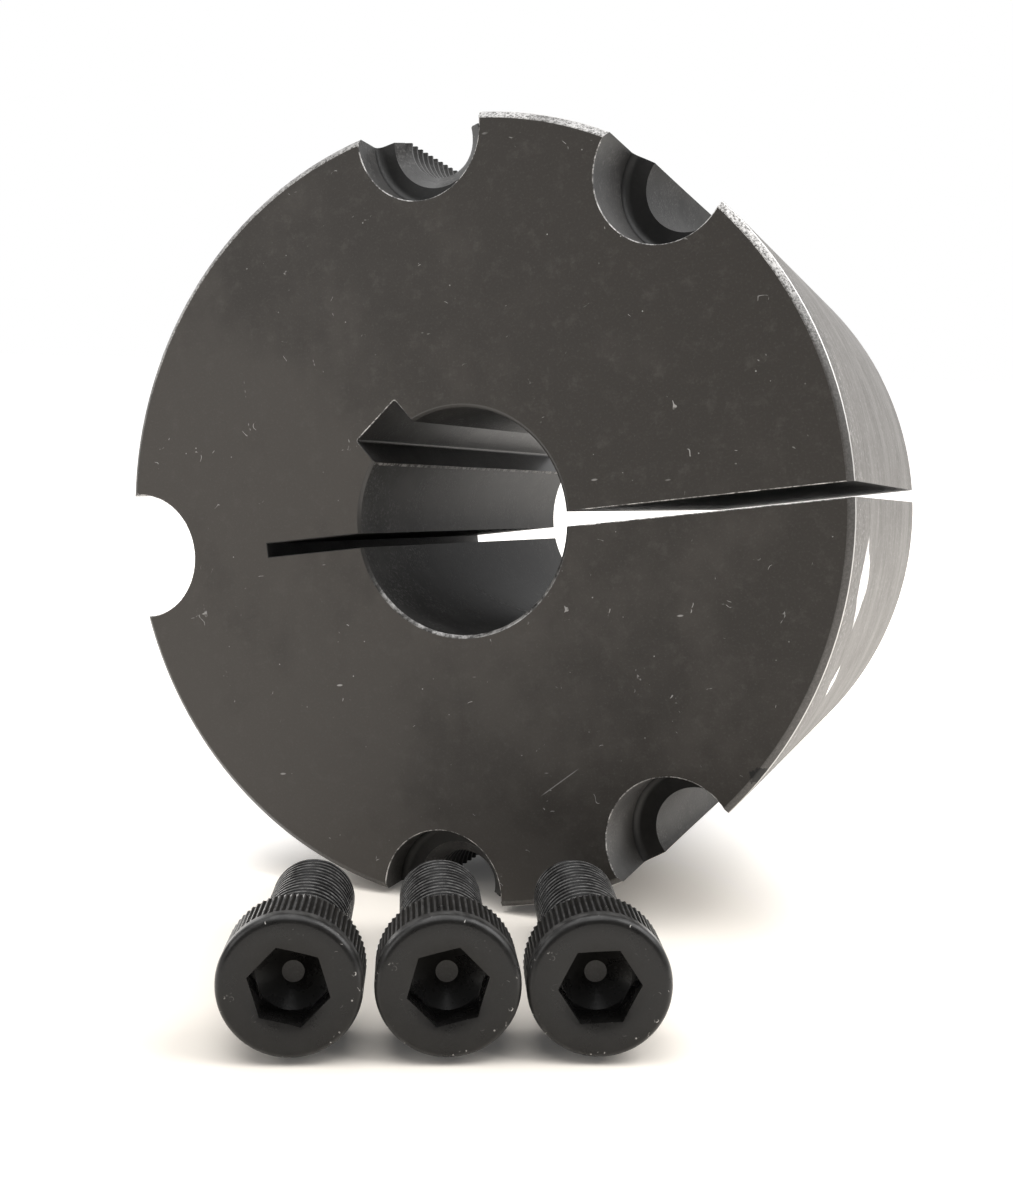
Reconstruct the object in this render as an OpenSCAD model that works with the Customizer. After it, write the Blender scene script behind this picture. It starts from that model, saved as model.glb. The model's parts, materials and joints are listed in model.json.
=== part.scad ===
// Split taper lock bushing with its three socket head cap screws.
// The bushing rests on a table, its large end towards -Y, and the screws lie in front of it.
// Local frame of the bushing: +Z out of the large end, +X along the slit, the large end at Z = 0.
// Local frame of a screw: +Z out of the head, the top of the head at Z = 0.

/* [Bushing] */
// Outside diameter where the rim chamfer of the large end meets the taper
big_end_d = 127; // [122:0.5:134]
// Length along the axis
bushing_length = 88.9; // [75:0.1:100]
// Taper of the outside, on each side, in degrees
taper_angle = 4; // [3:0.25:5]
// Chamfer of the outer rim at both ends
rim_chamfer = 1; // [0.5:0.1:2]

/* [Bore and keyway] */
// Shaft diameter
bore_d = 36.5125; // [30:0.0125:42]
// Bevel of the bore's edge at both ends
bore_bevel = 0.4; // [0.2:0.1:1]
// Width of the keyway
key_width = 9.525; // [6:0.025:12]
// Depth of the keyway, measured at its side
key_depth = 4.7625; // [3:0.0125:6]
// Rounding of the keyway's floor corners
key_corner_r = 0.5; // [0.2:0.1:1]
// Direction of the keyway from the slit, in degrees
key_angle = 127; // [110:1:150]

/* [Saw cuts] */
// Width of the slit that lets the bushing close on its shaft
slit_width = 2.3; // [1.5:0.1:4]
// Width of the blind cut opposite the slit
relief_width = 2.3; // [1.5:0.1:4]
// Distance from the axis to the end of the blind cut
relief_reach = 36.3; // [28:0.1:42]
// Distance of the middle of both cuts below the axis
cut_offset = 1.25; // [0:0.05:2]

/* [Screw holes] */
// Distance of the holes' centres inside the largest outside diameter
hole_inset = 1.9; // [0.5:0.1:3]
// Room round the screw head in its counterbore, on the diameter
head_room = 2.15; // [1.2:0.05:3]
// Distance of a seated screw head below the large end
head_sink = 1.6; // [0.5:0.1:3]
// Room round the screw in its plain half hole, on the diameter
shank_room = 0.9; // [0.4:0.1:1.5]
// Rounding in the bottom corner of a counterbore
seat_corner_r = 1.2; // [0.4:0.1:2]
// Room past the end of a seated screw
tip_room = 6; // [2:0.5:12]
// Depth of the counterbore over a jacking thread
jack_seat_depth = 7; // [4:0.1:10]
// Depth of a jacking thread below its counterbore
jack_thread_depth = 34; // [25:1:45]
// Depth of the countersink at the mouth of a jacking thread
jack_lead = 1.2; // [0.5:0.1:2]
// Directions of the locking holes from the slit, in degrees
lock_angles = [180, 52, -60];
// Directions of the jacking holes from the slit; the second one faces the table
jack_angles = [91, -99];

/* [Cap screws] */
// Diameter of the thread
screw_d = 12.7; // [11:0.1:13.5]
// Length under the head
screw_length = 38.1; // [30:0.1:42]
// Diameter of the head
head_d = 19.05; // [17.5:0.05:20]
// Height of the head
head_h = 12.7; // [11:0.1:14]
// Rounding of the head's upper edge
head_edge_r = 1.1; // [0.5:0.1:1.6]
// Rounding under the head
neck_r = 0.6; // [0.3:0.1:1]
// Chamfer at the tip
tip_chamfer = 1.1; // [0.6:0.1:1.6]
// Width of the hexagon socket across its flats
socket_flats = 9.525; // [8:0.025:10]
// Depth of the socket's flats
socket_depth = 6; // [4:0.1:7]
// Diameter of the flat spot at the bottom of the socket
socket_spot_d = 3; // [2:0.1:4]
// Slope of the socket's conical floor, in degrees
socket_slope = 30; // [15:1:40]

/* [Screws on the table] */
// Distance of the left screw's tip in front of the large end
tip_distance = 26.6; // [25:0.1:40]
// Distance of the left screw's tip to the left of the bore's axis
tip_offset = 11.8; // [0:0.1:20]
// Gap between the left head and the middle one
left_gap = 1.35; // [0.3:0.05:3]
// Gap between the middle head and the right one
right_gap = 0.6; // [0.3:0.05:3]
// Direction in which the heads stand side by side, in degrees
row_angle = 27; // [20:1:35]
// Turn of each screw about the vertical, in degrees
screw_turns = [25.6, 26.4, 24.6];
// Turn of each socket about its own axis, in degrees
socket_turns = [47, 15, 4];

/* [Hidden] */
$fn = 96;
over = 1;

big_r = big_end_d / 2;
small_r = big_r - (bushing_length - 2 * rim_chamfer) * tan(taper_angle);
bore_r = bore_d / 2;
key_floor = sqrt(pow(bore_r, 2) - pow(key_width / 2, 2)) + key_depth;

head_r = head_d / 2;
screw_r = screw_d / 2;
counterbore_r = (head_d + head_room) / 2;
shank_hole_r = (screw_d + shank_room) / 2;
seat_depth = head_h + head_sink;
lock_reach = seat_depth + screw_length + tip_room;
jack_reach = jack_seat_depth + jack_thread_depth;
hole_circle_r = big_r - hole_inset;
drill_point_angle = 118;

// The lower jacking notch turns straight down, and behind it the bushing lies on its taper.
roll = -90 - jack_angles[1];
lean = taper_angle;
axis_height = (big_r + rim_chamfer * tan(taper_angle)) * cos(taper_angle);

// A screw lies on the edge under its head and on its tip.
screw_lean = atan((head_r - screw_r) / (screw_length - tip_chamfer));
screw_height = head_r * cos(screw_lean) + head_h * sin(screw_lean);
screw_reach = (head_h + screw_length) * cos(screw_lean);
socket_r = socket_flats / 2 / cos(30);
socket_spot_r = socket_spot_d / 2;
socket_cone_h = (socket_flats / 2 - socket_spot_r) * tan(socket_slope);

// Centres of the tops of the three heads, seen from above
function along_row(distance) = distance * [cos(row_angle), sin(row_angle)];
left_tip = [-tip_offset, -tip_distance];
left_head = left_tip + screw_reach * [sin(screw_turns[0]), -cos(screw_turns[0])];
middle_head = left_head + along_row(head_d + left_gap);
right_head = middle_head + along_row(head_d + right_gap);
heads = [left_head, middle_head, right_head];

// The origin lies under the middle of the whole set, from front to back.
function facing(i) = cos(screw_turns[i]) * cos(screw_lean);
function head_front(i) = heads[i][1] + head_edge_r * facing(i)
    - (head_r - head_edge_r) * sqrt(1 - pow(facing(i), 2)) - head_edge_r;
front_y = min(head_front(0), head_front(1), head_front(2));
back_y = (small_r - rim_chamfer) * sin(lean) + bushing_length * cos(lean);
middle_y = (front_y + back_y) / 2;

// The ring as it comes off the lathe
module turned_blank() {
    rotate_extrude()
        polygon([
            [bore_r + bore_bevel, 0],
            [big_r - rim_chamfer, 0],
            [big_r, -rim_chamfer],
            [small_r, rim_chamfer - bushing_length],
            [small_r - rim_chamfer, -bushing_length],
            [bore_r + bore_bevel, -bushing_length],
            [bore_r, bore_bevel - bushing_length],
            [bore_r, -bore_bevel]
        ]);
}

// Saw cut through the wall, along +X
module slit() {
    translate([0, -cut_offset - slit_width / 2, -bushing_length - over])
        cube([big_r + over, slit_width, bushing_length + 2 * over]);
}

// Blind saw cut in the bore, along -X
module relief_cut() {
    translate([-relief_reach, -cut_offset - relief_width / 2, -bushing_length - over])
        cube([relief_reach, relief_width, bushing_length + 2 * over]);
}

// Keyway with rounded floor corners
module keyway() {
    rotate(key_angle)
        translate([0, 0, -bushing_length - over])
            linear_extrude(bushing_length + 2 * over) {
                translate([0, -key_width / 2])
                    square([key_floor - key_corner_r, key_width]);
                translate([0, key_corner_r - key_width / 2])
                    square([key_floor, key_width - 2 * key_corner_r]);
                for (side = [-1, 1])
                    translate([key_floor - key_corner_r, side * (key_width / 2 - key_corner_r)])
                        circle(key_corner_r);
            }
}

// Half of the section of a counterbore with a rounded bottom corner
module counterbore_section(depth) {
    translate([0, seat_corner_r - depth])
        square([counterbore_r, depth - seat_corner_r + over]);
    translate([0, -depth])
        square([counterbore_r - seat_corner_r, depth]);
    translate([counterbore_r - seat_corner_r, seat_corner_r - depth])
        circle(seat_corner_r);
}

// Half of the section of a drilled hole with the drill's point at its end
module drilled_section(radius, depth) {
    polygon([
        [0, 0],
        [radius, 0],
        [radius, -depth],
        [0, -depth - radius / tan(drill_point_angle / 2)]
    ]);
}

// Plain hole with a deep seat for a screw head
module lock_hole() {
    rotate_extrude() {
        counterbore_section(seat_depth);
        drilled_section(shank_hole_r, lock_reach);
    }
}

// Hole of the jacking thread, at the thread's full diameter, with a shallow counterbore
module jack_hole() {
    rotate_extrude() {
        counterbore_section(jack_seat_depth);
        drilled_section(screw_r, jack_reach);
        translate([0, -jack_seat_depth])
            polygon([[0, 0], [screw_r + jack_lead, 0], [screw_r, -jack_lead], [0, -jack_lead]]);
    }
}

// The holes lie across the rim, so each leaves a half round notch in the bushing.
module rim_notches() {
    for (angle = lock_angles)
        rotate(angle)
            translate([hole_circle_r, 0, 0])
                lock_hole();
    for (angle = jack_angles)
        rotate(angle)
            translate([hole_circle_r, 0, 0])
                jack_hole();
}

module socket() {
    translate([0, 0, -socket_depth])
        cylinder(h = socket_depth + over, r = socket_r, $fn = 6);
    translate([0, 0, -socket_depth - socket_cone_h])
        cylinder(h = socket_cone_h, r1 = socket_spot_r, r2 = socket_flats / 2);
}

// Turned form of a screw, its thread a plain cylinder of the full diameter
module screw_blank() {
    rotate_extrude() {
        translate([0, -head_h])
            square([head_r, head_h - head_edge_r]);
        translate([0, -head_h])
            square([head_r - head_edge_r, head_h]);
        translate([head_r - head_edge_r, -head_edge_r])
            circle(head_edge_r);
        translate([0, -head_h - screw_length])
            polygon([
                [0, 0],
                [screw_r - tip_chamfer, 0],
                [screw_r, tip_chamfer],
                [screw_r, screw_length - neck_r],
                [screw_r + neck_r, screw_length],
                [0, screw_length]
            ]);
    }
}

module screw_on_table(i) {
    translate([heads[i][0], heads[i][1] - middle_y, screw_height])
        rotate([0, 0, screw_turns[i]])
            rotate([90 - screw_lean, 0, 0])
                rotate(socket_turns[i])
                    difference() {
                        screw_blank();
                        socket();
                    }
}

module bushing() {
    color([0.27, 0.26, 0.25])
        translate([0, -middle_y, axis_height])
            rotate([90 - lean, 0, 0])
                rotate(roll)
                    difference() {
                        turned_blank();
                        slit();
                        relief_cut();
                        keyway();
                        rim_notches();
                    }
}

module cap_screw_left() {
    color([0.12, 0.12, 0.12])
        screw_on_table(0);
}

module cap_screw_middle() {
    color([0.12, 0.12, 0.12])
        screw_on_table(1);
}

module cap_screw_right() {
    color([0.12, 0.12, 0.12])
        screw_on_table(2);
}

bushing();
cap_screw_left();
cap_screw_middle();
cap_screw_right();
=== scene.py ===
import json
from math import acos, asin, atan2, cos, pi, radians, sin, sqrt, tan

import bmesh
import bpy
from mathutils import Matrix, Vector


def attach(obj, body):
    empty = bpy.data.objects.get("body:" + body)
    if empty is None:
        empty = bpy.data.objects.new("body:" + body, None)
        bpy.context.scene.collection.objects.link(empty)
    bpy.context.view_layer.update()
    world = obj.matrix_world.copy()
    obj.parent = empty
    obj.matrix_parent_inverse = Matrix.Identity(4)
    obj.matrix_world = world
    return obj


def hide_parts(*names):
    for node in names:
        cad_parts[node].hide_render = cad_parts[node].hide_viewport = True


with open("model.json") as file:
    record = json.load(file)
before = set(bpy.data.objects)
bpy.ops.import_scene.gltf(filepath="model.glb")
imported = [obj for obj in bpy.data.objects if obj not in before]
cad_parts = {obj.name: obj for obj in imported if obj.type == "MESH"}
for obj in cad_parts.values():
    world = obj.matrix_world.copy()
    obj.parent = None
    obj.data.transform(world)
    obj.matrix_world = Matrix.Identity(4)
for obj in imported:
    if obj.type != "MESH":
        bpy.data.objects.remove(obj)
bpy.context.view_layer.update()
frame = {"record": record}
mounts = {mount["name"]: mount for mount in frame["record"]["mounts"]}

# Lengths below are in millimetres, as on a drawing, and MM turns them into the scene's metres.
MM = 0.001
TURN = 2 * pi

# Bushing. Depth is measured from the large end along the axis.
LENGTH = 88.9
BIG_END_R = 63.5
TAPER = radians(4)
RIM_CHAMFER = 1.0
SMALL_END_R = BIG_END_R - (LENGTH - 2 * RIM_CHAMFER) * tan(TAPER)
BORE_R = 36.5125 / 2
BORE_BEVEL = 0.4
KEY_HALF = 9.525 / 2
KEY_FLOOR = sqrt(BORE_R ** 2 - KEY_HALF ** 2) + 4.7625
KEY_CORNER_R = 0.5
KEY_ANGLE = radians(127)
CUT_HALF = 2.3 / 2
CUT_OFFSET = 1.25
RELIEF_REACH = 36.3
ROLL = radians(9)

# Notches in the rim
HOLE_CIRCLE_R = 61.6
COUNTERBORE_R = 10.6
SEAT_CORNER_R = 1.2
LOCK_SEAT = 14.3
LOCK_REACH = 58.4
LOCK_R = 6.8
JACK_SEAT = 7.0
JACK_REACH = 41.0
JACK_MOUTH_R = 7.55
DRILL_SLOPE = tan(radians(59))
LOCK_ANGLES = [52, 180, 300]
JACK_ANGLES = [91, 261]

# Thread of half an inch, 13 to the inch
PITCH = 25.4 / 13
THREAD_R = 6.35
THREAD_DEPTH = 1.0
TAPPED_R = 5.6
THREAD_END = 37.5
THREAD_FADE = 2.5
TAP_CREST = 0.46
TAP_ROOT = 0.24
CREST = 0.34
ROOT = 0.4

# Cap screws. Depth is measured from the top of the head.
HEAD_R = 19.05 / 2
HEAD_H = 12.7
SCREW_LENGTH = 38.1
HEAD_EDGE_R = 1.1
TIP_CHAMFER = 1.1
NECK_R = 0.6
SOCKET_HALF = 9.525 / 2
SOCKET_DEPTH = 6.0
SOCKET_RING_R = 6.0
SOCKET_RING_SLOPE = tan(radians(12))
SPOT_R = 1.5
SOCKET_SLOPE = tan(radians(30))
KNURL_START = 3.1
KNURL_END = 12.1
KNURL_DEPTH = 0.27
KNURL_RUNOUT = 0.35
RIDGES = 72
SOCKET_TURNS = {"left": 47, "middle": 15, "right": 4}

# Rounding of the edges, softness of the rim's lines, and depth from a seat's row to its hole's first one
EDGE_R = 0.15
LINE_SOFTNESS = 0.26
LEDGE = 0.02

# How finely the meshes follow the forms
ARC_STEP = radians(2.2)
BORE_STEP = radians(3.4)
SIDE_POINTS = 6
HOLE_POINTS = 34
WALL_POINTS = 5
CORNER_POINTS = 4
RING = 5 * RIDGES
SHANK_RING = RING // 3
HEAD_EDGE_STEPS = 6
SHARP_ANGLE = radians(28)
MERGE_WITHIN = 0.002

# Where a drill's point leaves the rim, a notch's points draw together, and below it they spread out again.
CLOSED_CORNER = radians(0.2)
SPREAD_OUT = 6.0
# Largest share of a seat's row that the hole's mouth takes
MOUTH_LIMIT = 0.95
# Depths of rows that break up the long plain stretches, and rings down the socket and its conical floor
PLAIN_ROWS = [3.8, 10.2, 12.0, 46.5, 50, 54, 73, 79, 84]
SOCKET_ROWS = [0.45, 2.3, 4.2, SOCKET_DEPTH]
CONE_SHARES = [0.66, 0.33, 0.0]

# Marks of wear, and the way of the face's painted shade, in the bushing's own axes
CHIP_PLACE = (45.9, -43.2, -0.3)
CHIP_R = 2.4
CHIP_FADE = 0.4
FACE_SCRATCH = ((9.5, -45.2), (16.9, -40.7))
FACE_SCRATCH_WIDTH = 0.2
FACE_PAINTED_SHADE_WAY = (0.85, 0.5, 0)
POLISHED_STREAKS = [
    {"middle_z": -18.0, "width": 5.5, "low_y": -24.0, "high_y": -6.0},
    {"middle_z": -21.0, "width": 3.0, "low_y": -34.0, "high_y": -27.0},
]
POLISHED_SIDE = (40.0, 44.0)
RUB_WAY = (1.22, 0, 1)
RUB_BAND = (-55.6, -53.6)
RUB_SPAN = (-15.5, -5.5)
RUB_TOP = -8.0
KEY_LINE_WIDTH = 0.55

# Studio
SKY_STRENGTH = 0.24
BACKDROP_FROM = -0.2
BACKDROP_TO = 0.4
FLOOR_GLOW = 0.05
GLOW_FROM = 0.055
GLOW_TO = 0.125
GLOW_MIDDLE = (0.015, -0.04, 0)
GLOW_SHAPE = (1.5, 1, 1)
FLOOR_HALF = 12.0
FLOOR_COLOR = (0.94, 0.88, 0.8, 1)
LIGHT_TARGET = (0, 0, 0.06)
SOFTBOXES = [
    {"name": "top", "place": (-0.05, -0.15, 0.95), "size": (1.2, 0.9), "power": 9.0},
    {"name": "right_back", "place": (0.55, 0.15, 0.6), "size": (0.6, 0.6), "power": 5.0},
    {"name": "left_front", "place": (-0.3, -0.36, 0.24), "size": (0.25, 0.25), "power": 0.5},
]

# Camera, from the outlines of the bushing and the screws in the photograph
CAMERA_PLACE = (111.9, -254.4, 89.6)
CAMERA_HEADING = radians(22.98)
CAMERA_DOWN = radians(13.2)
CAMERA_ROLL = radians(1.45)
PHOTO_SIZE = (1013, 1200)
FOCAL_PIXELS = 1668
PRINCIPAL_PIXEL = (497.5, 747.8)


def upright(origin, outward, turn):
    """Frame whose Z is outward and whose X is level before it turns about Z."""
    z = outward.normalized()
    x = Vector((0, 0, 1)).cross(z).normalized()
    axes = Matrix((x, z.cross(x), z)).transposed().to_4x4()
    return Matrix.Translation(origin) @ axes @ Matrix.Rotation(turn, 4, "Z")


def bushing_frame():
    bore = mounts["bore"]
    outward = Vector(bore["axis"])
    return upright(Vector(bore["pos_m"]) + outward * (LENGTH / 2 * MM), outward, ROLL)


def screw_frame(side):
    thread = mounts["cap_screw_%s_thread" % side]
    outward = -Vector(thread["axis"])
    reach = (HEAD_H + SCREW_LENGTH - TIP_CHAMFER) * MM
    return upright(Vector(thread["pos_m"]) + outward * reach, outward, radians(SOCKET_TURNS[side]))


def spread(start, end, count):
    """Values from start towards end, which belongs to what follows."""
    return [start + (end - start) * i / count for i in range(count)]


def soft_min(a, b, width):
    share = max(width - abs(a - b), 0.0) / width
    return min(a, b) - share * share * width / 4


def edge_break(depth):
    """How far the edges of an end face are rounded away at this depth."""
    near = min(depth, LENGTH - depth)
    if near >= EDGE_R:
        return 0.0
    return EDGE_R - sqrt(EDGE_R ** 2 - (EDGE_R - near) ** 2)


def outer_r(depth):
    taper = BIG_END_R - (depth - RIM_CHAMFER) * tan(TAPER)
    front = BIG_END_R - RIM_CHAMFER + depth
    back = SMALL_END_R - RIM_CHAMFER + LENGTH - depth
    return soft_min(soft_min(taper, front, LINE_SOFTNESS), back, LINE_SOFTNESS) - edge_break(depth)


def bore_r(depth):
    near = min(depth, LENGTH - depth)
    return BORE_R + max(BORE_BEVEL - near, 0.0) + edge_break(depth)


def on_circle(radius, angle, depth):
    return (radius * cos(angle), radius * sin(angle), -depth)


def on_rim(angle, depth):
    return on_circle(outer_r(depth), angle, depth)


def trapezoid(place, crest, root):
    """Height from 0 to 1 of a thread at a place along its pitch: a flat crest, a flank, a flat root."""
    place = place % PITCH
    flank = (PITCH - crest - root) / 2
    if place < crest:
        return 1.0
    if place < crest + flank:
        return 1.0 - (place - crest) / flank
    if place < crest + flank + root:
        return 0.0
    return (place - crest - flank - root) / flank


class Notch:
    """A half round notch: a counterbore with a rounded corner over a smaller drilled hole."""

    def __init__(self, angle, seat, reach, hole_r, threaded):
        self.angle = radians(angle)
        self.seat = seat
        self.reach = reach
        self.hole_r = hole_r
        self.threaded = threaded
        floor_r = COUNTERBORE_R - SEAT_CORNER_R
        self.edge = self.half_angle(floor_r, self.crossing(floor_r, seat))
        mouth_r = JACK_MOUTH_R if threaded else hole_r
        self.mouth_crossing = self.crossing(mouth_r, seat)
        narrow = HOLE_CIRCLE_R - BIG_END_R - RIM_CHAMFER * tan(TAPER)
        self.closes = (hole_r + reach * DRILL_SLOPE - narrow) / (tan(TAPER) + DRILL_SLOPE)

    def crossing(self, radius, depth):
        """Angle about the hole, from its inmost point, at which it leaves the bushing."""
        cosine = (HOLE_CIRCLE_R ** 2 + radius ** 2 - outer_r(depth) ** 2) / (2 * HOLE_CIRCLE_R * radius)
        return acos(max(-1.0, min(1.0, cosine)))

    def half_angle(self, radius, crossing):
        """The same place as an angle about the bushing's axis."""
        return atan2(radius * sin(crossing), HOLE_CIRCLE_R - radius * cos(crossing))

    def seat_r(self, depth):
        across = depth - self.seat + SEAT_CORNER_R
        if across <= 0:
            return COUNTERBORE_R + edge_break(depth)
        across = min(across, SEAT_CORNER_R)
        return COUNTERBORE_R - SEAT_CORNER_R + sqrt(SEAT_CORNER_R ** 2 - across ** 2)

    def radius(self, depth, around):
        if depth > self.reach:
            return self.hole_r - (depth - self.reach) * DRILL_SLOPE
        if not self.threaded:
            return self.hole_r
        place = depth + PITCH * around / TURN - JACK_SEAT
        rise = (THREAD_R - TAPPED_R) * (1 - trapezoid(place, TAP_CREST, TAP_ROOT))
        fade = max(0.0, min(1.0, (THREAD_END - depth) / THREAD_FADE))
        return max(TAPPED_R + rise * fade, JACK_MOUTH_R - (depth - JACK_SEAT))

    def twist(self, depth):
        """How much of the thread's lead a row follows, so that its points run along the crests."""
        if not self.threaded:
            return 0.0
        lead_in = (depth - self.seat) / (JACK_MOUTH_R - TAPPED_R)
        lead_out = (self.reach - depth) / THREAD_FADE
        return PITCH / TURN * max(0.0, min(1.0, lead_in, lead_out))

    def point(self, radius, around, depth):
        turned = self.angle + pi + around
        x = HOLE_CIRCLE_R * cos(self.angle) + radius * cos(turned)
        y = HOLE_CIRCLE_R * sin(self.angle) + radius * sin(turned)
        return (x, y, -depth)

    def below_seat(self, depth):
        return depth > self.seat + LEDGE / 2

    def rim_edge(self, depth):
        """Half of the angle that the notch takes of the rim in one row."""
        if self.below_seat(depth):
            return self.edge
        radius = self.seat_r(depth)
        return self.half_angle(radius, self.crossing(radius, depth))

    def seat_points(self, depth):
        radius = self.seat_r(depth)
        rim = self.crossing(radius, depth)
        middle = min(self.mouth_crossing, MOUTH_LIMIT * rim)
        turns = spread(rim, middle, SIDE_POINTS)
        turns += spread(middle, -middle, HOLE_POINTS)
        turns += spread(-middle, -rim, SIDE_POINTS)
        return [self.point(radius, around, depth) for around in turns]

    def hole_points(self, depth):
        twist = self.twist(depth)
        rim = pi / 2
        for _ in range(3):
            rim = self.crossing(self.radius(depth, 0), depth - twist * rim)
        corner = self.half_angle(self.radius(depth, 0), rim)
        here = []
        for side in (1, -1):
            ends = [(self.edge, 0.0), (corner, side * twist * rim)]
            if side < 0:
                ends.reverse()
            for share in spread(0.0, 1.0, SIDE_POINTS):
                angle = ends[0][0] + (ends[1][0] - ends[0][0]) * share
                shift = ends[0][1] + (ends[1][1] - ends[0][1]) * share
                here.append(on_rim(self.angle - side * angle, depth - shift))
            if side > 0:
                for around in spread(rim, -rim, HOLE_POINTS):
                    at = depth - twist * around
                    here.append(self.point(self.radius(at, around), around, at))
        return here

    def closed_points(self, depth):
        """Past the drill's point the rim is whole, and the row's points draw apart again."""
        open_share = min(1.0, (depth - self.closes) / SPREAD_OUT)
        even = self.edge * HOLE_POINTS / (HOLE_POINTS + 2 * SIDE_POINTS)
        corner = CLOSED_CORNER + (even - CLOSED_CORNER) * open_share
        turns = spread(-self.edge, -corner, SIDE_POINTS)
        turns += spread(-corner, corner, HOLE_POINTS)
        turns += spread(corner, self.edge, SIDE_POINTS)
        return [on_rim(self.angle + turn, depth) for turn in turns]

    def points(self, depth):
        if not self.below_seat(depth):
            return self.seat_points(depth)
        if depth < self.closes:
            return self.hole_points(depth)
        return self.closed_points(depth)

    def walls(self, depth):
        """Name of the wall that each of the row's edges lies on."""
        count = HOLE_POINTS + 2 * SIDE_POINTS
        if depth > self.seat - SEAT_CORNER_R and not self.below_seat(depth):
            return ["seat"] * count
        if not self.below_seat(depth):
            return ["counterbore"] * count
        if depth > self.closes:
            return ["rim"] * count
        inner = "thread" if self.threaded else "hole"
        return ["rim"] * SIDE_POINTS + [inner] * HOLE_POINTS + ["rim"] * SIDE_POINTS


notches = [Notch(angle, LOCK_SEAT, LOCK_REACH, LOCK_R, False) for angle in LOCK_ANGLES]
notches += [Notch(angle, JACK_SEAT, JACK_REACH, TAPPED_R, True) for angle in JACK_ANGLES]
notches.sort(key=lambda notch: notch.angle)


def bushing_depths():
    """Depths of the rows: every edge, corner and thread crest has a row of its own."""
    line = LINE_SOFTNESS / 2
    ends = [0, 0.02, 0.07, EDGE_R, BORE_BEVEL, RIM_CHAMFER - line, RIM_CHAMFER, RIM_CHAMFER + line, 2.4]
    marks = ends + [LENGTH - depth for depth in ends]
    for seat in (JACK_SEAT, LOCK_SEAT):
        marks += [seat - SEAT_CORNER_R * (1 - sin(radians(15 * i))) for i in range(7)]
        marks.append(seat + LEDGE)
    locking, jacking = notches[:2]
    for notch in (locking, jacking):
        slope = notch.closes - notch.reach
        marks += [notch.reach + slope * share for share in (0, 0.3, 0.6, 0.8, 0.92, 0.99, 1.01)]
        marks += [notch.closes + SPREAD_OUT * share for share in (0.25, 0.5, 0.75, 1)]
    marks += PLAIN_ROWS
    flank = (PITCH - TAP_CREST - TAP_ROOT) / 2
    steps = [0, TAP_CREST, TAP_CREST + flank, TAP_CREST + flank + TAP_ROOT]
    crests = int((THREAD_END + THREAD_FADE - JACK_SEAT) / PITCH)
    for crest in range(crests):
        for step in steps:
            depth = JACK_SEAT + PITCH * crest + step
            if all(abs(depth - mark) > 0.05 for mark in marks):
                marks.append(depth)
    return sorted(set(round(mark, 4) for mark in marks))


def keyway_points(radius, slack):
    """Keyway's outline from one edge at the bore to the other, in the bushing's own axes."""
    half = KEY_HALF + slack
    floor = KEY_FLOOR + slack
    mouth = sqrt(radius ** 2 - half ** 2)
    stops = [mouth + (floor - KEY_CORNER_R - mouth) * i / WALL_POINTS for i in range(WALL_POINTS)]
    outline = [(stop, half) for stop in stops]
    for side in (1, -1):
        for i in range(CORNER_POINTS + 1):
            turn = pi / 2 * i / CORNER_POINTS
            turn = turn if side < 0 else pi / 2 - turn
            outline.append((floor - KEY_CORNER_R + KEY_CORNER_R * cos(turn),
                            side * (half - KEY_CORNER_R + KEY_CORNER_R * sin(turn))))
    outline += [(stop, -half) for stop in reversed(stops[1:])]
    c, s = cos(KEY_ANGLE), sin(KEY_ANGLE)
    return [(u * c - v * s, u * s + v * c) for u, v in outline]


def bushing_row(depth):
    """One closed row round the bushing's section, as points and the names of the walls between them."""
    slack = edge_break(depth)
    rim, bore = outer_r(depth), bore_r(depth)
    upper = CUT_HALF - CUT_OFFSET + slack
    lower = -CUT_HALF - CUT_OFFSET - slack
    points, walls = [], []

    def add(new_points, wall):
        points.extend(new_points)
        walls.extend(wall if isinstance(wall, list) else [wall] * len(new_points))

    def flat(outline):
        return [(x, y, -depth) for x, y in outline]

    stops = [asin(upper / rim)]
    for notch in notches:
        stops += [notch.angle - notch.rim_edge(depth), notch.angle + notch.rim_edge(depth)]
    stops.append(TURN + asin(lower / rim))
    for i, count in enumerate(rim_counts):
        add([on_rim(angle, depth) for angle in spread(stops[2 * i], stops[2 * i + 1], count)], "rim")
        if i < len(notches):
            add(notches[i].points(depth), notches[i].walls(depth))
    out_x, in_x = sqrt(rim ** 2 - lower ** 2), sqrt(bore ** 2 - lower ** 2)
    add(flat([(x, lower) for x in spread(out_x, in_x, WALL_POINTS)]), "slit")
    key_half = asin((KEY_HALF + slack) / bore)
    reach = -RELIEF_REACH - slack
    relief = [(x, lower) for x in spread(-sqrt(bore ** 2 - lower ** 2), reach, WALL_POINTS)]
    relief += [(reach, lower), (reach, upper)]
    relief += [(x, upper) for x in spread(reach, -sqrt(bore ** 2 - upper ** 2), WALL_POINTS)][1:]
    arcs = [
        (asin(lower / bore), -pi - asin(lower / bore), relief, "relief"),
        (-pi - asin(upper / bore), KEY_ANGLE - TURN + key_half, keyway_points(bore, slack), "keyway"),
        (KEY_ANGLE - TURN - key_half, asin(upper / bore) - TURN, [], "bore"),
    ]
    for (start, end, cut, wall), count in zip(arcs, BORE_COUNTS):
        add([on_circle(bore, angle, depth) for angle in spread(start, end, count)], "bore")
        add(flat(cut), wall)
    out_x, in_x = sqrt(rim ** 2 - upper ** 2), sqrt(bore ** 2 - upper ** 2)
    add(flat([(x, upper) for x in spread(in_x, out_x, WALL_POINTS)]), "slit")
    return points, walls


def counts_between(edges, step):
    return [max(2, round(abs(end - start) / step)) for start, end in edges]


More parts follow.
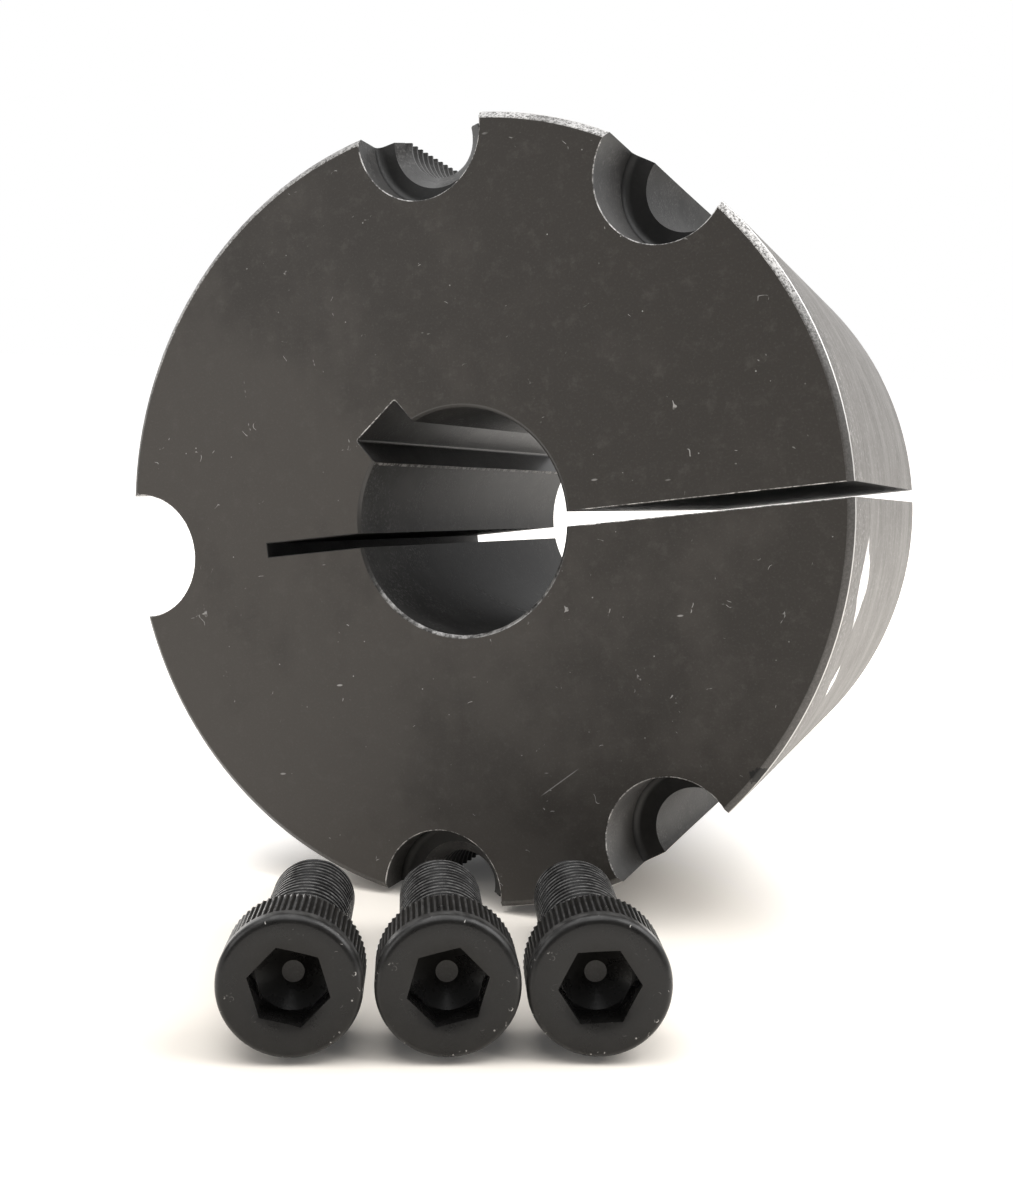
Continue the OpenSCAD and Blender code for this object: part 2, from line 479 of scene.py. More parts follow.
rim_edges = [0.0]
for notch in notches:
    rim_edges += [notch.angle - notch.edge, notch.angle + notch.edge]
rim_edges.append(TURN)
rim_counts = counts_between(list(zip(rim_edges[::2], rim_edges[1::2])), ARC_STEP)
# Rough angles of the three stretches of the bore: slit to relief cut, to the keyway, and back to the slit
bore_edges = [(0, radians(165)), (0, radians(38)), (0, radians(112))]
BORE_COUNTS = counts_between(bore_edges, BORE_STEP)

BUSHING_SLOTS = ["face", "rim", "chamfer", "bore", "keyway", "slit", "relief", "counterbore", "seat", "hole",
                 "thread", "edge"]


def wall_of(above, below, depth):
    """Slot of a face from the walls above and below it."""
    if "seat" in (above, below):
        return "seat"
    wall = below if above == "rim" else above
    near = min(depth, LENGTH - depth)
    if wall == "rim":
        if near < RIM_CHAMFER - LINE_SOFTNESS / 2:
            return "chamfer"
        return "edge" if near < RIM_CHAMFER + LINE_SOFTNESS / 2 else "rim"
    bevel = BORE_BEVEL if wall == "bore" else EDGE_R
    return "edge" if near < bevel and wall != "relief" else wall


def finish_mesh(name, mesh_faces, vertices, slots, materials, flat_slots, place, merge=0.0):
    """Object from vertices in millimetres and (corners, slot) faces, with its edges marked sharp or soft."""
    form = bmesh.new()
    corners = [form.verts.new([value * MM for value in vertex]) for vertex in vertices]
    for face_corners, slot in mesh_faces:
        face = form.faces.new([corners[i] for i in face_corners])
        face.material_index = slots.index(slot)
        face.smooth = True
    if merge:
        bmesh.ops.remove_doubles(form, verts=form.verts, dist=merge * MM)
        bmesh.ops.dissolve_degenerate(form, edges=form.edges, dist=merge * MM)
    bmesh.ops.recalc_face_normals(form, faces=form.faces)
    flat = {slots.index(slot) for slot in flat_slots}
    for edge in form.edges:
        indexes = {face.material_index for face in edge.link_faces}
        at_flat = len(indexes) > 1 and indexes & flat
        edge.smooth = not at_flat and edge.calc_face_angle(0.0) < SHARP_ANGLE
    form.transform(place)
    mesh = bpy.data.meshes.new(name)
    form.to_mesh(mesh)
    form.free()
    for slot in slots:
        mesh.materials.append(materials[slot])
    piece = bpy.data.objects.new(name, mesh)
    bpy.context.collection.objects.link(piece)
    return piece


def build_bushing(materials):
    depths = bushing_depths()
    rows = [bushing_row(depth) for depth in depths]
    count = len(rows[0][0])
    vertices = [point for points, _ in rows for point in points]
    faces = []
    for r in range(len(rows) - 1):
        middle = (depths[r] + depths[r + 1]) / 2
        for i in range(count):
            j = (i + 1) % count
            slot = wall_of(rows[r][1][i], rows[r + 1][1][i], middle)
            top, bottom = r * count, (r + 1) * count
            faces.append(((top + i, top + j, bottom + j, bottom + i), slot))
    faces.append((tuple(range(count)), "face"))
    faces.append((tuple(range(len(vertices) - count, len(vertices))), "face"))
    return finish_mesh("taper_bushing", faces, vertices, BUSHING_SLOTS, materials, ["face"], bushing_frame())


SCREW_SLOTS = ["head", "knurl", "socket", "spot", "shank"]


def head_rows():
    """Rings of the head's outside from its flat top to its underside, as (depth, radius, knurled)."""
    rows = []
    for i in range(HEAD_EDGE_STEPS + 1):
        turn = pi / 2 * i / HEAD_EDGE_STEPS
        rows.append((HEAD_EDGE_R * (1 - cos(turn)), HEAD_R - HEAD_EDGE_R * (1 - sin(turn)), 0.0))
    rows.append((KNURL_START - KNURL_RUNOUT, HEAD_R, 0.0))
    rows.append((KNURL_START, HEAD_R, 1.0))
    rows.append((KNURL_END, HEAD_R, 1.0))
    rows.append((KNURL_END + 0.25, HEAD_R - 0.1, 0.6))
    rows.append((HEAD_H, HEAD_R - 0.45, 0.0))
    return rows


def knurl_drop(i):
    """Depth of the knurl's grooves round the ring: two points on each ridge and three in each groove."""
    return (0.0, 0.0, 0.7, 1.0, 0.7)[i % 5] * KNURL_DEPTH


def hexagon_r(angle):
    sixth = TURN / 6
    return SOCKET_HALF / cos((angle % sixth) - sixth / 2)


def shank_r(depth, around):
    """Radius of the threaded shank at a depth under the top of the head."""
    place = -depth - PITCH * around / TURN
    radius = THREAD_R - THREAD_DEPTH + THREAD_DEPTH * trapezoid(place, CREST, ROOT)
    tip = HEAD_H + SCREW_LENGTH
    radius = min(radius, THREAD_R - TIP_CHAMFER + (tip - depth))
    return max(radius, THREAD_R + NECK_R - (depth - HEAD_H))


def build_screw(side, materials):
    vertices, faces = [], []

    def ring(count, radius_of, depth_of):
        """Adds one ring and gives the index of its first vertex."""
        first = len(vertices)
        for i in range(count):
            angle = TURN * i / count
            radius = radius_of(angle, i)
            vertices.append((radius * cos(angle), radius * sin(angle), -depth_of(angle)))
        return first

    def bridge(upper, lower, count, slot):
        for i in range(count):
            j = (i + 1) % count
            faces.append(((upper + i, upper + j, lower + j, lower + i), slot))

    def widen(fine, coarse, slot):
        """Joins the fine ring of the head to a ring with a third of its points."""
        for i in range(SHANK_RING):
            j = (i + 1) % SHANK_RING
            outer = [fine + (3 * i + k) % RING for k in range(4)]
            faces.append((tuple(outer + [coarse + j, coarse + i]), slot))

    rings = []
    for depth, radius, knurled in head_rows():
        rings.append(ring(RING, lambda angle, i: radius - knurled * knurl_drop(i), lambda angle: depth))
    for k in range(len(rings) - 1):
        bridge(rings[k], rings[k + 1], RING, "knurl" if k >= HEAD_EDGE_STEPS else "head")

    mouth = ring(SHANK_RING, lambda angle, i: SOCKET_RING_R, lambda angle: 0.0)
    widen(rings[0], mouth, "head")
    sunk = ring(SHANK_RING, lambda angle, i: hexagon_r(angle),
                lambda angle: (SOCKET_RING_R - hexagon_r(angle)) * SOCKET_RING_SLOPE)
    bridge(mouth, sunk, SHANK_RING, "head")
    walls = [sunk]
    for depth in SOCKET_ROWS:
        walls.append(ring(SHANK_RING, lambda angle, i: hexagon_r(angle), lambda angle: depth))
        bridge(walls[-2], walls[-1], SHANK_RING, "socket")
    floor = ring(SHANK_RING, lambda angle, i: SOCKET_HALF * 0.995, lambda angle: SOCKET_DEPTH)
    bridge(walls[-1], floor, SHANK_RING, "socket")
    for share in CONE_SHARES:
        radius = SPOT_R + (SOCKET_HALF - SPOT_R) * share
        low = ring(SHANK_RING, lambda angle, i: radius,
                   lambda angle: SOCKET_DEPTH + (SOCKET_HALF - radius) * SOCKET_SLOPE)
        bridge(floor, low, SHANK_RING, "socket")
        floor = low
    faces.append((tuple(range(floor, floor + SHANK_RING)), "spot"))

    flank = (PITCH - CREST - ROOT) / 2
    steps = [0, CREST, CREST + flank / 2, CREST + flank, CREST + flank + ROOT / 2, CREST + flank + ROOT,
             CREST + ROOT + flank * 1.5]
    tip = HEAD_H + SCREW_LENGTH
    turns = int(SCREW_LENGTH / PITCH) + 3
    first_turn = -int(tip / PITCH) - 2
    levels = [(first_turn + turn) * PITCH + step for turn in range(turns) for step in steps]

    def shank_vertex(level, i):
        around = TURN * i / SHANK_RING
        depth = min(max(-(level + PITCH * i / SHANK_RING), HEAD_H), tip)
        radius = shank_r(depth, around)
        return (radius * cos(around), radius * sin(around), -depth)

    first = len(vertices)
    for level in levels:
        vertices.extend(shank_vertex(level, i) for i in range(SHANK_RING))

    def shank_index(row, i):
        if i == SHANK_RING:
            return first + (row + len(steps)) * SHANK_RING
        return first + row * SHANK_RING + i

    for row in range(len(levels) - len(steps) - 1):
        for i in range(SHANK_RING):
            corners = (shank_index(row, i), shank_index(row, i + 1),
                       shank_index(row + 1, i + 1), shank_index(row + 1, i))
            faces.append((corners, "shank"))

    neck = ring(SHANK_RING, lambda angle, i: shank_r(HEAD_H, angle), lambda angle: HEAD_H)
    widen(rings[-1], neck, "head")
    end = ring(SHANK_RING, lambda angle, i: shank_r(tip, angle), lambda angle: tip)
    faces.append((tuple(range(end, end + SHANK_RING)), "shank"))
    return finish_mesh("socket_screw_" + side, faces, vertices, SCREW_SLOTS, materials, [], screw_frame(side),
                       merge=MERGE_WITHIN)


def add_node(tree, kind, links, **settings):
    """Adds a node. Each link is a socket to join or a plain value to set, and None leaves the input alone."""
    made = tree.nodes.new(kind)
    for key, value in settings.items():
        setattr(made, key, value)
    for key, value in links.items():
        if isinstance(value, bpy.types.NodeSocket):
            tree.links.new(value, made.inputs[key])
        elif value is not None:
            made.inputs[key].default_value = value
    return made


def join_math(tree, operation, a, b=None, clamp=False):
    return add_node(tree, "ShaderNodeMath", {0: a, 1: b}, operation=operation, use_clamp=clamp).outputs[0]


def join_step(tree, value, low, high, low_result=0.0, high_result=1.0):
    """Smooth rise or fall from one result to the other as the value goes from low to high."""
    links = {0: value, 1: low, 2: high, 3: low_result, 4: high_result}
    return add_node(tree, "ShaderNodeMapRange", links, interpolation_type="SMOOTHSTEP").outputs[0]


class Recipe:
    """A node material in the making. Places are in millimetres in the piece's own axes."""

    piece_frame = Matrix()

    def __init__(self, name, roughness=0.5, metallic=0.0, specular=0.5):
        self.material = bpy.data.materials.new(name)
        self.material.use_nodes = True
        self.tree = self.material.node_tree
        self.shader = self.tree.nodes["Principled BSDF"]
        self.shader.inputs["Roughness"].default_value = roughness
        self.shader.inputs["Metallic"].default_value = metallic
        self.shader.inputs["Specular IOR Level"].default_value = specular
        where = self.tree.nodes.new("ShaderNodeTexCoord").outputs["Object"]
        into = self.node("ShaderNodeMapping", {"Vector": where}, vector_type="TEXTURE")
        into.inputs["Location"].default_value = self.piece_frame.translation
        into.inputs["Rotation"].default_value = self.piece_frame.to_euler()
        into.inputs["Scale"].default_value = (MM, MM, MM)
        self.place = into.outputs[0]

    def node(self, kind, links, **settings):
        return add_node(self.tree, kind, links, **settings)

    def vector(self, operation, a, b=None):
        return self.node("ShaderNodeVectorMath", {0: a, 1: b}, operation=operation).outputs["Vector"]

    def measure(self, operation, a, b=None):
        """A number from vectors: a length, a distance or a dot product."""
        return self.node("ShaderNodeVectorMath", {0: a, 1: b}, operation=operation).outputs["Value"]

    def math(self, operation, a, b=None, clamp=False):
        return join_math(self.tree, operation, a, b, clamp)

    def axis(self, index, source=None):
        return self.node("ShaderNodeSeparateXYZ", {0: source or self.place}).outputs[index]

    def radius(self):
        """Distance from the piece's axis."""
        return self.measure("LENGTH", self.vector("MULTIPLY", self.place, (1, 1, 0)))

    def stretched(self, x, y, z):
        return self.vector("MULTIPLY", self.place, (x, y, z))

    def noise(self, size, detail=4.0, roughness=0.55, place=None):
        links = {"Vector": place or self.place, "Scale": 1 / size, "Detail": detail, "Roughness": roughness}
        return self.node("ShaderNodeTexNoise", links).outputs[0]

    def step(self, value, low, high, low_result=0.0, high_result=1.0):
        return join_step(self.tree, value, low, high, low_result, high_result)

    def mix(self, share, a, b):
        """Colour a where the share is 0 and colour b where it is 1."""
        return self.node("ShaderNodeMix", {0: share, 6: a, 7: b}, data_type="RGBA").outputs[2]

    def spots(self, spacing, size, share, place=None):
        """Sparse round marks: a mask of the chosen cells' middles."""
        cell = self.node("ShaderNodeTexVoronoi", {"Vector": place or self.place, "Scale": 1 / spacing})
        near = self.step(cell.outputs["Distance"], size / spacing * 0.5, size / spacing, 1.0, 0.0)
        chosen = self.math("GREATER_THAN", self.axis(0, cell.outputs["Color"]), 1 - share)
        return self.math("MULTIPLY", near, chosen)

    def dot(self, direction):
        return self.measure("DOT_PRODUCT", self.place, direction)

    def between(self, value, low, high):
        """Mask that is 1 between two values and fades out over a fifth of the way at both ends."""
        soft = (high - low) / 5
        rise = self.step(value, low, low + soft)
        return self.math("MULTIPLY", rise, self.step(value, high - soft, high, 1.0, 0.0))

    def hairs(self, size, width, share):
        """Sparse curved hairlines, where a noise passes through its middle value."""
        off = self.math("ABSOLUTE", self.math("SUBTRACT", self.noise(size, 1, 0.5), 0.5))
        line = self.step(off, width / 2, width, 1.0, 0.0)
        return self.math("MULTIPLY", line, self.step(self.noise(size * 1.3, 3, 0.7), share, share + 0.06))

    def scratch(self, start, end, width):
        """A straight scratch on the face, from one place on it to another."""
        run = Vector(end) - Vector(start)
        way = run.normalized()
        at = self.vector("SUBTRACT", self.place, (start[0], start[1], 0))
        along = self.measure("DOT_PRODUCT", at, (way.x, way.y, 0))
        across = self.measure("DOT_PRODUCT", at, (-way.y, way.x, 0))
        line = self.step(self.math("ABSOLUTE", across), width / 4, width / 2, 0.5, 0.0)
        return self.math("MULTIPLY", line, self.between(along, 0.0, run.length))

    def chip(self):
        """A small dark chip at the rim of the large end."""
        off = self.measure("DISTANCE", self.place, CHIP_PLACE)
        ragged = self.math("MULTIPLY", self.noise(0.9, 3, 0.7), CHIP_R)
        return self.step(self.math("ADD", off, ragged), CHIP_R, CHIP_R + CHIP_FADE, 1.0, 0.0)

    def arc_streak(self, middle_z, width, low_y, high_y):
        """A long spot on the taper that narrows to points at its two ends, its outline a little ragged."""
        share = self.step(self.math("ADD", self.axis(1), self.noise(2.5, 3, 0.7)), low_y, high_y)
        swell = self.math("SINE", self.math("MULTIPLY", share, pi))
        wander = self.math("MULTIPLY", self.noise(8, 3, 0.6), width)
        middle = self.math("ADD", wander, middle_z - width / 2)
        off = self.math("ABSOLUTE", self.math("SUBTRACT", self.axis(2), middle))
        inside = self.math("SUBTRACT", self.math("MULTIPLY", swell, width), off)
        return self.math("MULTIPLY", self.step(inside, 0.0, 0.5), self.between(self.axis(1), low_y, high_y))

    def color(self, value):
        self.set("Base Color", value)

    def set(self, socket, value):
        if isinstance(value, bpy.types.NodeSocket):
            self.tree.links.new(value, self.shader.inputs[socket])
        else:
            self.shader.inputs[socket].default_value = value

    def bump(self, height, distance):
        """Height from 0 to 1 stands for the distance in millimetres."""
        made = self.node("ShaderNodeBump", {"Height": height, "Distance": distance * MM, "Strength": 1.0})
        self.set("Normal", made.outputs[0])


def tone(value, warm=0.03):
    """A grey in linear light, a little warmer or cooler."""
    return (value * (1 + warm), value, value * (1 - warm), 1.0)


def phosphate(name):
    """Dark phosphate on a machined face: cloudy, faintly grained, with light specks, nicks and a scratch, and
    painted shade that makes it lighter towards the lower left and darker towards the upper right.
    """
    make = Recipe(name, 0.52, specular=0.35)
    clouds = make.noise(30, 5, 0.6)
    streaks = make.noise(9, 3, 0.6, place=make.stretched(1, 0.3, 1))
    clouds_and_painted_shade = make.math("ADD", make.math("MULTIPLY", clouds, 0.8), make.math("MULTIPLY", streaks, 0.2))
    # Painted shade: lighter towards the lower left, darker towards the upper right.
    clouds_and_painted_shade = make.math("ADD", clouds_and_painted_shade, make.step(make.dot(FACE_PAINTED_SHADE_WAY), -60.0, 55.0, 0.16, -0.16))
    grain = make.noise(0.4, 3, 0.7)
    blots = make.noise(3.0, 4, 0.7)
    base = make.mix(make.step(clouds_and_painted_shade, 0.38, 0.62), tone(0.022, 0.15), tone(0.043, 0.12))
    base = make.mix(make.step(blots, 0.5, 0.8, 0.0, 0.5), base, tone(0.062, 0.09))
    base = make.mix(make.step(grain, 0.5, 0.8, 0.0, 0.3), base, tone(0.09, 0.05))
    marks = make.math("MAXIMUM", make.spots(2.4, 0.15, 0.3), make.hairs(3.4, 0.010, 0.63))
    marks = make.math("MAXIMUM", marks, make.spots(6.1, 0.34, 0.16, place=make.stretched(0.5, 1.6, 1)))
    marks = make.math("MULTIPLY", marks, make.step(make.noise(9, 3), 0.34, 0.6, 0.12, 0.9))
    marks = make.math("MAXIMUM", marks, make.scratch(*FACE_SCRATCH, FACE_SCRATCH_WIDTH))
    base = make.mix(marks, base, tone(0.36, 0.02))
    make.color(make.mix(make.chip(), base, tone(0.004)))
    make.bump(make.math("ADD", grain, marks), 0.012)
    return make.material


def ground(name):
    """Ground grey iron: streaks run round it, the rim is granular and two streaks are polished."""
    make = Recipe(name, specular=0.18)
    streaks = make.noise(11, 4, 0.65, place=make.stretched(1, 1, 14))
    bands = make.noise(40, 3, 0.6, place=make.stretched(1, 1, 3.2))
    patches = make.noise(6.5, 4, 0.65)
    grain = make.noise(0.8, 4, 0.8)
    base = make.mix(make.step(streaks, 0.3, 0.7), tone(0.135, 0.05), tone(0.18, 0.05))
    base = make.mix(make.step(patches, 0.45, 0.7, 0.0, 0.7), base, tone(0.115, 0.06))
    base = make.mix(make.step(bands, 0.45, 0.65, 0.0, 0.5), base, tone(0.25, 0.04))
    near_rim = make.step(make.axis(2), -17.0, -1.0)
    base = make.mix(make.math("MULTIPLY", near_rim, 0.6), base, tone(0.1, 0.06))
    coarse = make.math("MULTIPLY", make.step(grain, 0.5, 0.7), make.math("ADD", near_rim, 0.4, clamp=True))
    base = make.mix(coarse, base, tone(0.42, 0.03))
    polished = make.math("MAXIMUM", *[make.arc_streak(**streak) for streak in POLISHED_STREAKS])
    polished = make.math("MULTIPLY", polished, make.step(make.axis(0), *POLISHED_SIDE))
    make.color(make.mix(polished, base, tone(0.42, 0.02)))
    make.set("Metallic", make.step(polished, 0.0, 1.0, 0.1, 0.95))
    rough = make.step(streaks, 0.2, 0.8, 0.6, 0.48)
    make.set("Roughness", make.math("SUBTRACT", rough, make.math("MULTIPLY", polished, 0.38)))
    height = make.math("ADD", make.math("MULTIPLY", streaks, 0.15), make.math("MULTIPLY", grain, 0.6))
    make.bump(height, 0.02)
    return make.material


def grained_chamfer_painted_highlight(name):
    """The rim's chamfer: dark and grained, with a painted highlight of granular bright metal along its upper
    part, where the top light falls.
    """
    make = Recipe(name, 0.42, metallic=0.3)
    grain = make.noise(0.42, 3, 0.8)
    patches = make.noise(12, 3, 0.6)
    # Painted highlight: granular bright metal only along the upper part, where the top light falls.
    upper = make.step(make.axis(1), 14.0, 40.0)
    grainy_painted_highlight = make.math("MULTIPLY", make.step(grain, 0.36, 0.6), upper)
    grainy_painted_highlight = make.math("MULTIPLY", grainy_painted_highlight, make.step(patches, 0.35, 0.55, 0.5, 1.0))
    base = make.mix(make.step(grain, 0.4, 0.7), tone(0.05, 0.06), tone(0.085, 0.05))
    base = make.mix(grainy_painted_highlight, base, tone(0.5, 0.02))
    make.color(make.mix(make.chip(), base, tone(0.004)))
    make.bump(grain, 0.05)
    return make.material


def bright_edge(name):
    """Edges rubbed to bare metal in broken lines, with a painted highlight as an unbroken bright line where
    the rim's chamfer meets the taper.
    """
    make = Recipe(name, 0.35, metallic=0.4)
    breaks = make.math("ADD", make.math("MULTIPLY", make.noise(2.6, 3, 0.6), 0.6),
                       make.math("MULTIPLY", make.noise(0.5, 2, 0.7), 0.4))
    at_bore = make.step(make.radius(), BORE_R + 2.0, BORE_R + 4.0, 1.0, 0.0)
    spared = make.math("MULTIPLY", at_bore, make.step(make.axis(1), -15.0, -4.0))
    bare_and_painted_highlight = make.math("MULTIPLY", make.step(breaks, 0.4, 0.62), make.math("SUBTRACT", 1.0, spared))
    bare_and_painted_highlight = make.math("MULTIPLY", bare_and_painted_highlight, make.step(make.radius(), BORE_R + 2.0, BORE_R + 4.0, 0.5, 1.0))
    # Painted highlight: an unbroken bright line where the rim's chamfer meets the taper.
    bare_and_painted_highlight = make.math("MAXIMUM", bare_and_painted_highlight, make.step(make.radius(), BIG_END_R - 0.9, BIG_END_R - 0.5, 0.0, 0.9))
    make.color(make.mix(bare_and_painted_highlight, tone(0.035, 0.05), tone(0.6, 0.02)))
    return make.material


def machined(name, dark, light, roughness, size, stretch, depth, blots=0.4, specular=0.4):
    """A dark machined wall with fine tool marks and rough blots. Gives the recipe, for more to be added."""
    make = Recipe(name, roughness, specular=specular)
    marks = make.noise(size, 4, 0.65, place=make.stretched(*stretch))
    clouds = make.noise(9, 4, 0.6)
    rough = make.math("MULTIPLY", make.step(make.noise(0.5, 3, 0.7), 0.48, 0.68),
                      make.step(make.noise(6, 3, 0.6), 0.38, 0.6))
    base = make.mix(make.step(clouds, 0.36, 0.64), tone(dark), tone(light))
    base = make.mix(make.step(marks, 0.5, 0.75, 0.0, 0.35), base, tone(light * 1.8))
    base = make.mix(make.math("MULTIPLY", rough, blots), base, tone(light * 3.2))
    specks = make.spots(2.6, 0.14, 0.2)
    make.color(make.mix(make.math("MULTIPLY", specks, blots), base, tone(0.4)))
    make.bump(make.math("ADD", marks, rough), depth)
    return make


def bored(name):
    """The bore: cloudy, with a rub along the axis and a bright broken line beside the keyway."""
    make = machined(name, 0.012, 0.03, 0.5, 1.4, (1, 1, 7), 0.01, blots=0.8, specular=0.22)
    c, s = cos(KEY_ANGLE), sin(KEY_ANGLE)
    across = make.dot((-s, c, 0))
    along = make.dot((c, s, 0))
    beside_key = make.between(across, KEY_HALF, KEY_HALF + KEY_LINE_WIDTH)
    line = make.math("MULTIPLY", beside_key, make.step(along, 8.0, 9.0))
    line = make.math("MULTIPLY", line, make.step(make.noise(1.6, 4, 0.7), 0.42, 0.62))
    rub = make.between(make.dot(RUB_WAY), *RUB_BAND)
    rub = make.math("MULTIPLY", rub, make.step(make.axis(1), RUB_TOP, RUB_TOP - 1))
    rub = make.math("MULTIPLY", rub, make.between(make.axis(0), *RUB_SPAN))
    rub = make.math("MULTIPLY", rub, make.step(make.noise(0.9, 4, 0.75), 0.4, 0.6))
    base = make.shader.inputs["Base Color"].links[0].from_socket
    make.color(make.mix(make.math("MAXIMUM", line, make.math("MULTIPLY", rub, 0.7)), base, tone(0.42)))
    return make.material


def black_oxide(name, value, roughness, wear_and_highlight_from=None, wear_and_highlight_to=None, wear_and_highlight_value=0.1, flecks=0.0):
    """Black oxide on steel, lighter where the form stands out furthest from the axis: rubbed oxide, and on a
    thread's crests also a painted highlight.
    """
    make = Recipe(name, roughness, specular=0.27)
    clouds = make.noise(4, 4, 0.6)
    grain = make.noise(0.3, 2, 0.6)
    base = make.mix(make.step(clouds, 0.35, 0.65), tone(value * 0.75, 0.05), tone(value * 1.3, 0.04))
    base = make.mix(make.step(grain, 0.5, 0.75, 0.0, 0.25), base, tone(value * 2.6))
    if wear_and_highlight_from:
        rubbed_and_painted_highlight = make.math("MULTIPLY", make.step(make.radius(), wear_and_highlight_from, wear_and_highlight_to),
                           make.step(make.noise(1.4, 3), 0.35, 0.7, 0.3, 1.0))
        base = make.mix(rubbed_and_painted_highlight, base, tone(wear_and_highlight_value, 0.02))
    if flecks:
        at_rim = make.step(make.radius(), HEAD_R - 2.2, HEAD_R - 0.8, 0.12, 1.0)
        nicks = make.math("MAXIMUM", make.spots(1.5, 0.16, flecks), make.hairs(2.0, 0.012, 0.6))
        base = make.mix(make.math("MULTIPLY", nicks, at_rim), base, tone(0.45))
    make.color(base)
    make.set("Roughness", make.step(clouds, 0.2, 0.8, roughness - 0.06, roughness + 0.08))
    make.bump(grain, 0.012)
    return make.material


def bushing_materials():
    Recipe.piece_frame = bushing_frame()
    return {
        "face": phosphate("phosphate_face"),
        "rim": ground("ground_taper"),
        "chamfer": grained_chamfer_painted_highlight("grained_chamfer_painted_highlight"),
        "edge": bright_edge("bright_edge"),
        "bore": bored("bored_wall"),
        "keyway": machined("broached_keyway", 0.014, 0.034, 0.4, 1.0, (6, 6, 0.25), 0.01).material,
        "slit": machined("sawn_slit", 0.008, 0.02, 0.5, 0.8, (0.3, 1, 5), 0.03).material,
        "relief": machined("sawn_relief", 0.006, 0.014, 0.6, 0.8, (0.3, 1, 5), 0.03, blots=0.1).material,
        "counterbore": machined("counterbore_wall", 0.024, 0.046, 0.42, 0.7, (1, 1, 6), 0.012).material,
        # The counterbore's seat is painted near black: painted shade in the recess, where no light reaches.
        "seat": machined("counterbore_seat_painted_shade", 0.006, 0.012, 0.5, 0.8, (1, 1, 1), 0.01, blots=0.1).material,
        "hole": machined("drilled_wall", 0.014, 0.03, 0.5, 0.8, (1, 1, 4), 0.02, 0.6, 0.15).material,
        "thread": machined("tapped_thread", 0.022, 0.045, 0.35, 0.6, (1, 1, 2), 0.01).material,
    }


def screw_materials(side):
    Recipe.piece_frame = screw_frame(side)
    return {
        "head": black_oxide("oxide_head_" + side, 0.0085, 0.3, HEAD_R - 0.8, HEAD_R - 0.1, 0.04, flecks=0.12),
        "knurl": black_oxide("oxide_knurl_" + side, 0.005, 0.32, HEAD_R - 0.12, HEAD_R - 0.01, 0.07),
        "socket": black_oxide("oxide_socket_" + side, 0.009, 0.26),
        "spot": black_oxide("oxide_spot_" + side, 0.05, 0.4),
        # The thread's crests and the tops of their flanks are painted lighter: partly rubbed oxide, partly a
        # painted highlight along the crests.
        "shank": black_oxide("oxide_thread_" + side, 0.003, 0.26, THREAD_R - 0.12, THREAD_R - 0.03, 0.17),
    }


def dress():
    bushing = build_bushing(bushing_materials())
    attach(bushing, "root")
    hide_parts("bushing")
    for side in SOCKET_TURNS:
        screw = build_screw(side, screw_materials(side))
        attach(screw, "root")
        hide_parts("cap_screw_" + side)


def white_for_the_eye(tree, mirrored=1.0):
    """Value of 1 where the camera sees a thing, and of mirrored where a mirror or glass shows it."""
    path = tree.nodes.new("ShaderNodeLightPath")
    indirect = join_math(tree, "MAXIMUM", path.outputs["Is Glossy Ray"], path.outputs["Is Transmission Ray"])
    shown = join_math(tree, "MULTIPLY", indirect, mirrored)
    return join_math(tree, "MAXIMUM", path.outputs["Is Camera Ray"], shown)


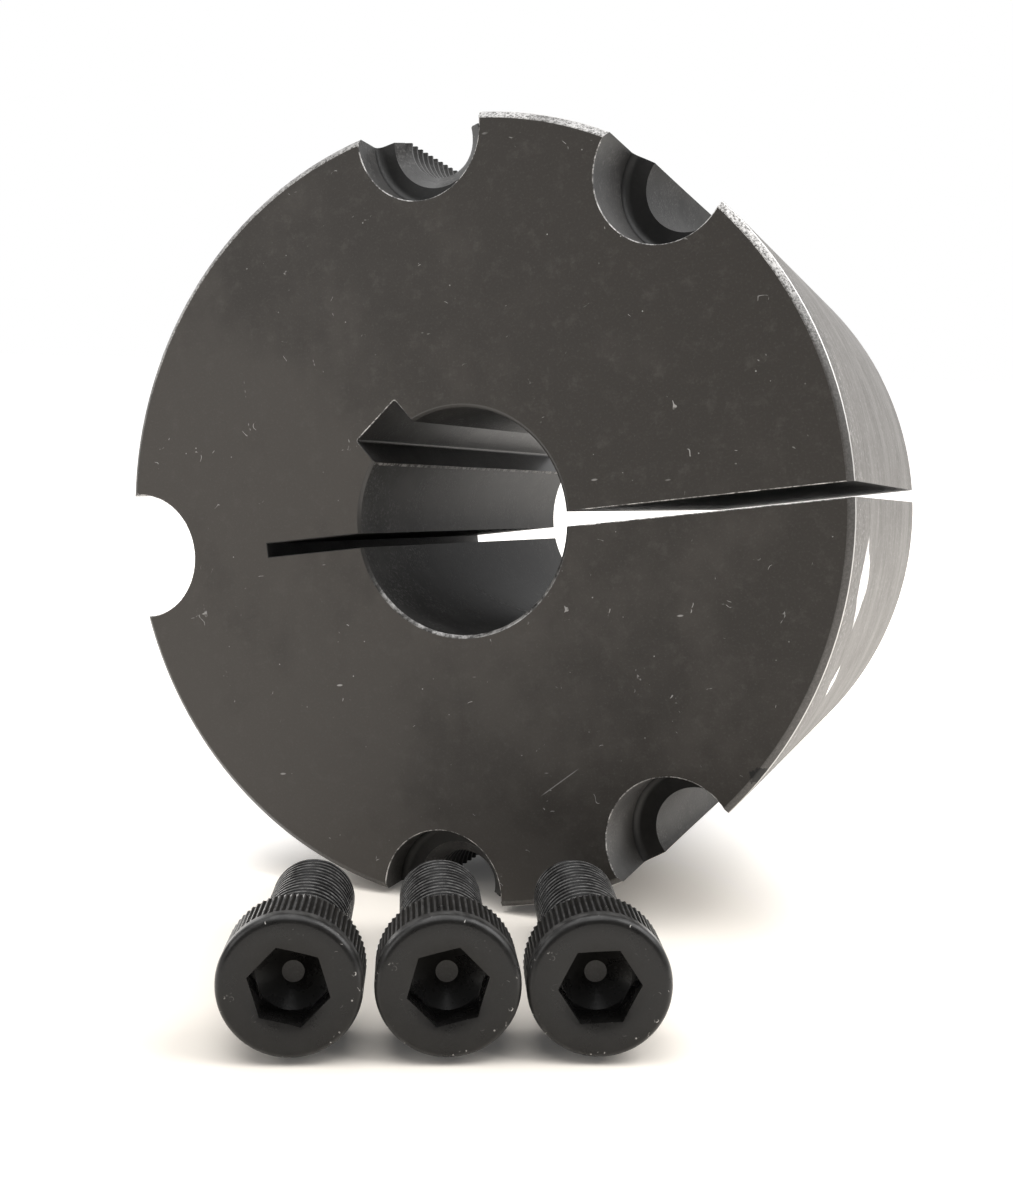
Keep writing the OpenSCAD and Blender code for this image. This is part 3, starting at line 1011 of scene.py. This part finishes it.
def add_floor():
    """White sheet that keeps the shadows and looks white past them."""
    mesh = bpy.data.meshes.new("floor")
    corners = [(FLOOR_HALF * x, FLOOR_HALF * y, 0) for x, y in ((-1, -1), (1, -1), (1, 1), (-1, 1))]
    mesh.from_pydata(corners, [], [(0, 1, 2, 3)])
    floor = bpy.data.objects.new("floor", mesh)
    bpy.context.collection.objects.link(floor)
    material = bpy.data.materials.new("white_sheet")
    material.use_nodes = True
    tree = material.node_tree
    tree.nodes.clear()
    sheet = add_node(tree, "ShaderNodeBsdfDiffuse", {"Color": FLOOR_COLOR})
    where = tree.nodes.new("ShaderNodeTexCoord").outputs["Object"]
    vector_node = "ShaderNodeVectorMath"
    offset = add_node(tree, vector_node, {0: where, 1: GLOW_MIDDLE}, operation="SUBTRACT")
    shaped = add_node(tree, vector_node, {0: offset.outputs[0], 1: GLOW_SHAPE}, operation="MULTIPLY")
    distance = add_node(tree, vector_node, {0: shaped.outputs[0]}, operation="LENGTH")
    glowing = join_step(tree, distance.outputs["Value"], GLOW_FROM, GLOW_TO, FLOOR_GLOW)
    strength = join_math(tree, "MULTIPLY", white_for_the_eye(tree), glowing)
    glow = add_node(tree, "ShaderNodeEmission", {"Strength": strength})
    both = add_node(tree, "ShaderNodeAddShader", {0: sheet.outputs[0], 1: glow.outputs[0]})
    add_node(tree, "ShaderNodeOutputMaterial", {"Surface": both.outputs[0]})
    mesh.materials.append(material)


def add_softbox(name, place, size, power):
    lamp = bpy.data.lights.new(name, "AREA")
    lamp.shape = "RECTANGLE"
    lamp.size, lamp.size_y = size
    lamp.energy = power
    softbox = bpy.data.objects.new(name, lamp)
    bpy.context.collection.objects.link(softbox)
    softbox.location = place
    softbox.rotation_euler = (Vector(LIGHT_TARGET) - Vector(place)).to_track_quat("-Z", "Y").to_euler()


def add_light():
    world = bpy.data.worlds.new("studio")
    bpy.context.scene.world = world
    world.use_nodes = True
    tree = world.node_tree
    sky = tree.nodes["Background"]
    sky.inputs["Color"].default_value = (1, 1, 1, 1)
    where = tree.nodes.new("ShaderNodeTexCoord").outputs["Generated"]
    direction = add_node(tree, "ShaderNodeSeparateXYZ", {0: where}).outputs["Y"]
    behind = join_step(tree, direction, BACKDROP_FROM, BACKDROP_TO)
    seen = white_for_the_eye(tree, behind)
    tree.links.new(join_math(tree, "MAXIMUM", seen, SKY_STRENGTH), sky.inputs["Strength"])
    for softbox in SOFTBOXES:
        add_softbox(**softbox)


def add_camera():
    lens = bpy.data.cameras.new("camera")
    camera = bpy.data.objects.new("camera", lens)
    bpy.context.collection.objects.link(camera)
    long_side = max(PHOTO_SIZE)
    lens.lens = lens.sensor_width * FOCAL_PIXELS / long_side
    lens.shift_x = (PHOTO_SIZE[0] / 2 - PRINCIPAL_PIXEL[0]) / long_side
    lens.shift_y = (PRINCIPAL_PIXEL[1] - PHOTO_SIZE[1] / 2) / long_side
    lens.clip_start = 0.01
    lens.clip_end = 50
    turn = Matrix.Rotation(CAMERA_HEADING, 4, "Z") @ Matrix.Rotation(pi / 2 - CAMERA_DOWN, 4, "X")
    place = Matrix.Translation(Vector(CAMERA_PLACE) * MM)
    camera.matrix_world = place @ turn @ Matrix.Rotation(CAMERA_ROLL, 4, "Z")
    bpy.context.scene.camera = camera


add_camera()
add_light()
add_floor()
dress()
bpy.context.scene.view_settings.view_transform = "Standard"
